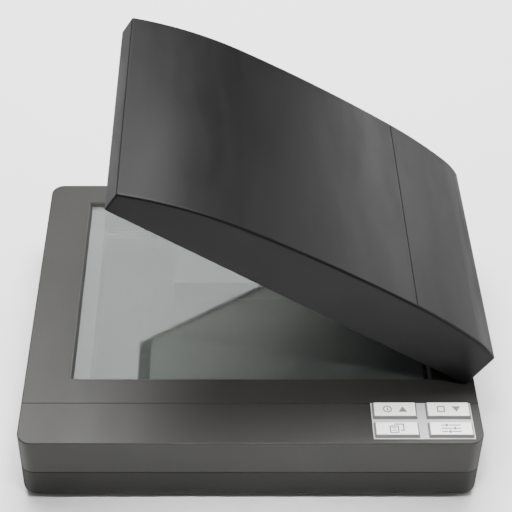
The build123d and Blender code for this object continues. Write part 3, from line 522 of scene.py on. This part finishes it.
KEY_FIGURES = {
    "start_key": ring(-6.0, 0, 3.7, 1.0) + [
        bar_outline(-6.5, -5.5, -1.7, 1.7), arrow(True),
    ],
    "stop_key": frame_bars(-9.2, -2.8, -3.2, 3.2, LINE) + [arrow(False)],
    "copy_key": frame_bars(-6.0, 1.6, -4.9, 2.9, LINE) + [
        bar_outline(-2.4, 6.0, 4.95 - LINE, 4.95), bar_outline(6.0 - LINE, 6.0, -2.6, 4.95),
        bar_outline(2.9, 6.0, -2.6, -2.6 + LINE),
        bar_outline(-4.0, -0.4, 0.0, 0.8), bar_outline(-4.0, -0.4, -2.4, -1.6),
    ],
    "settings_key": slider(3.4, -3.4) + slider(0.0, 3.2) + slider(-3.4, -1.0),
}


def key_marks():
    """Raised pictograms: start and up, stop and down, two sheets, and three slide controls."""
    for node, shapes in KEY_FIGURES.items():
        low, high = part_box(node)
        centre = ((low.x + high.x) / 2, (low.y + high.y) / 2)
        mesh = prism(f"{node}_mark", at(centre, shapes), high.z - MARK_SINK, high.z + MARK_HEIGHT)
        body = node.replace("_key", "_button")
        finish_piece(f"{node}_mark", mesh, body, MARK_GREY)


key_marks()


# ---- Lid pad ---------------------------------------------------------------------------------
PAD_CORNER = 3 * MM


def lid_matrix():
    """Turns the closed lid to the angle at which it rests."""
    turn = Matrix.Rotation(LID_REST, 4, "Y")
    return Matrix.Translation(HINGE) @ turn @ Matrix.Translation(-HINGE)


def closed_box(node):
    """A lid node's lowest and highest corners with the lid closed."""
    cos, sin = math.cos(-LID_REST), math.sin(-LID_REST)
    turned = []
    for vertex in NODES[node].data.vertices:
        p = vertex.co - HINGE
        turned.append(Vector((p.x * cos + p.z * sin, p.y, -p.x * sin + p.z * cos)) + HINGE)
    low = Vector([min(p[i] for p in turned) for i in range(3)])
    high = Vector([max(p[i] for p in turned) for i in range(3)])
    return low, high


def pad_mesh(name, low, high, levels):
    """A slab with soft corners in the lid, through levels of inset in millimetres and height."""
    rings = []
    for inset, z in levels:
        gap = inset * MM
        x0, x1, y0, y1 = low.x + gap, high.x - gap, low.y + gap, high.y - gap
        rings.append((rounded_outline(x0, x1, y0, y1, PAD_CORNER), z))
    mesh = stack(name, rings)
    mesh.transform(lid_matrix())
    return mesh


def lid_pad():
    """The foam block and the white sheet bonded to it, each with soft corners and edges."""
    low, high = closed_box("backing_foam")
    levels = ((0.6, high.z), (0.0, high.z - 0.8 * MM), (0.25, (low.z + high.z) / 2),
              (0.0, low.z + 0.5 * MM), (0.35, low.z))
    mesh = pad_mesh("lid_pad_foam", low, high, levels)
    foam_piece = finish_piece(
        "lid_pad_foam", mesh, "lid", MATERIALS["backing_foam"],
        ("backing_foam",), 0.3 * MM,
    )
    low, high = closed_box("backing_sheet")
    levels = ((0.0, high.z), (0.0, low.z + 0.25 * MM), (0.25, low.z))
    mesh = pad_mesh("lid_pad_sheet", low, high, levels)
    finish_piece("lid_pad_sheet", mesh, "lid", MATERIALS["backing_white"],
                 ("backing_sheet",))


lid_pad()


# ---- Studio ----------------------------------------------------------------------------------
WORLD_STRENGTH = 0.22
FLOOR_REACH = 6.0  # half of the floor's side
# Name, place and aim point from CASE_TOP, size, power in watts and spread in degrees.
LIGHTS = (
    ("overhead", (0.0, 0.75, 2.0), (0.0, 0.6, 0.0), (1.9, 1.3), 165, 180),
    ("back_left_softbox", (-0.25, 1.0, 1.08), (0.0, 0.0, 0.0), (0.85, 0.7), 7, 180),
    ("lid_spot", (0.058, 0.32, 0.48), (-0.08, -0.07, 0.2), (0.08, 0.08), 0.13, 120),
    ("low_back_right", (1.2, 1.35, 0.35), (0.1, 0.0, 0.1), (0.7, 0.28), 3.5, 180),
    ("left_strip", (-1.4, -0.1, 0.4), (0.0, 0.0, 0.0), (0.5, 0.8), 1.5, 180),
    ("right_strip", (1.4, -0.2, 0.35), (0.0, 0.0, 0.0), (0.5, 0.8), 5, 180),
    ("front_pool", (0.02, -0.36, 0.75), (0.02, -0.28, -0.07), (0.1, 0.1), 0.8, 50),
)


def area_light(name, location, target, size, power, spread):
    """A rectangular lamp turned towards its target."""
    data = bpy.data.lights.new(name, "AREA")
    data.shape = "RECTANGLE"
    data.size, data.size_y = size
    data.energy = power
    data.spread = math.radians(spread)
    light = bpy.data.objects.new(name, data)
    SCENE.collection.objects.link(light)
    light.location = location
    light.rotation_euler = (Vector(target) - Vector(location)).to_track_quat("-Z", "Y").to_euler()


def studio():
    """A white surround and floor, and the lights."""
    world = bpy.data.worlds.new("studio")
    SCENE.world = world
    world.use_nodes = True
    background = world.node_tree.nodes["Background"]
    background.inputs[0].default_value = (1, 1, 1, 1)
    background.inputs[1].default_value = WORLD_STRENGTH
    bm = bmesh.new()
    bmesh.ops.create_grid(bm, x_segments=1, y_segments=1, size=FLOOR_REACH)
    mesh = bpy.data.meshes.new("floor")
    bm.to_mesh(mesh)
    bm.free()
    floor = bpy.data.objects.new("floor", mesh)
    SCENE.collection.objects.link(floor)
    s = Shader("floor_white")
    s.set(Base_Color=s.mix(s.noise(0.7), (0.86, 0.86, 0.86), (0.88, 0.88, 0.88)), Roughness=0.9)
    floor.data.materials.append(s.material)
    middle = Vector(CASE_TOP)
    for name, place, aim, size, power, spread in LIGHTS:
        area_light(name, middle + Vector(place), middle + Vector(aim), size, power, spread)


studio()
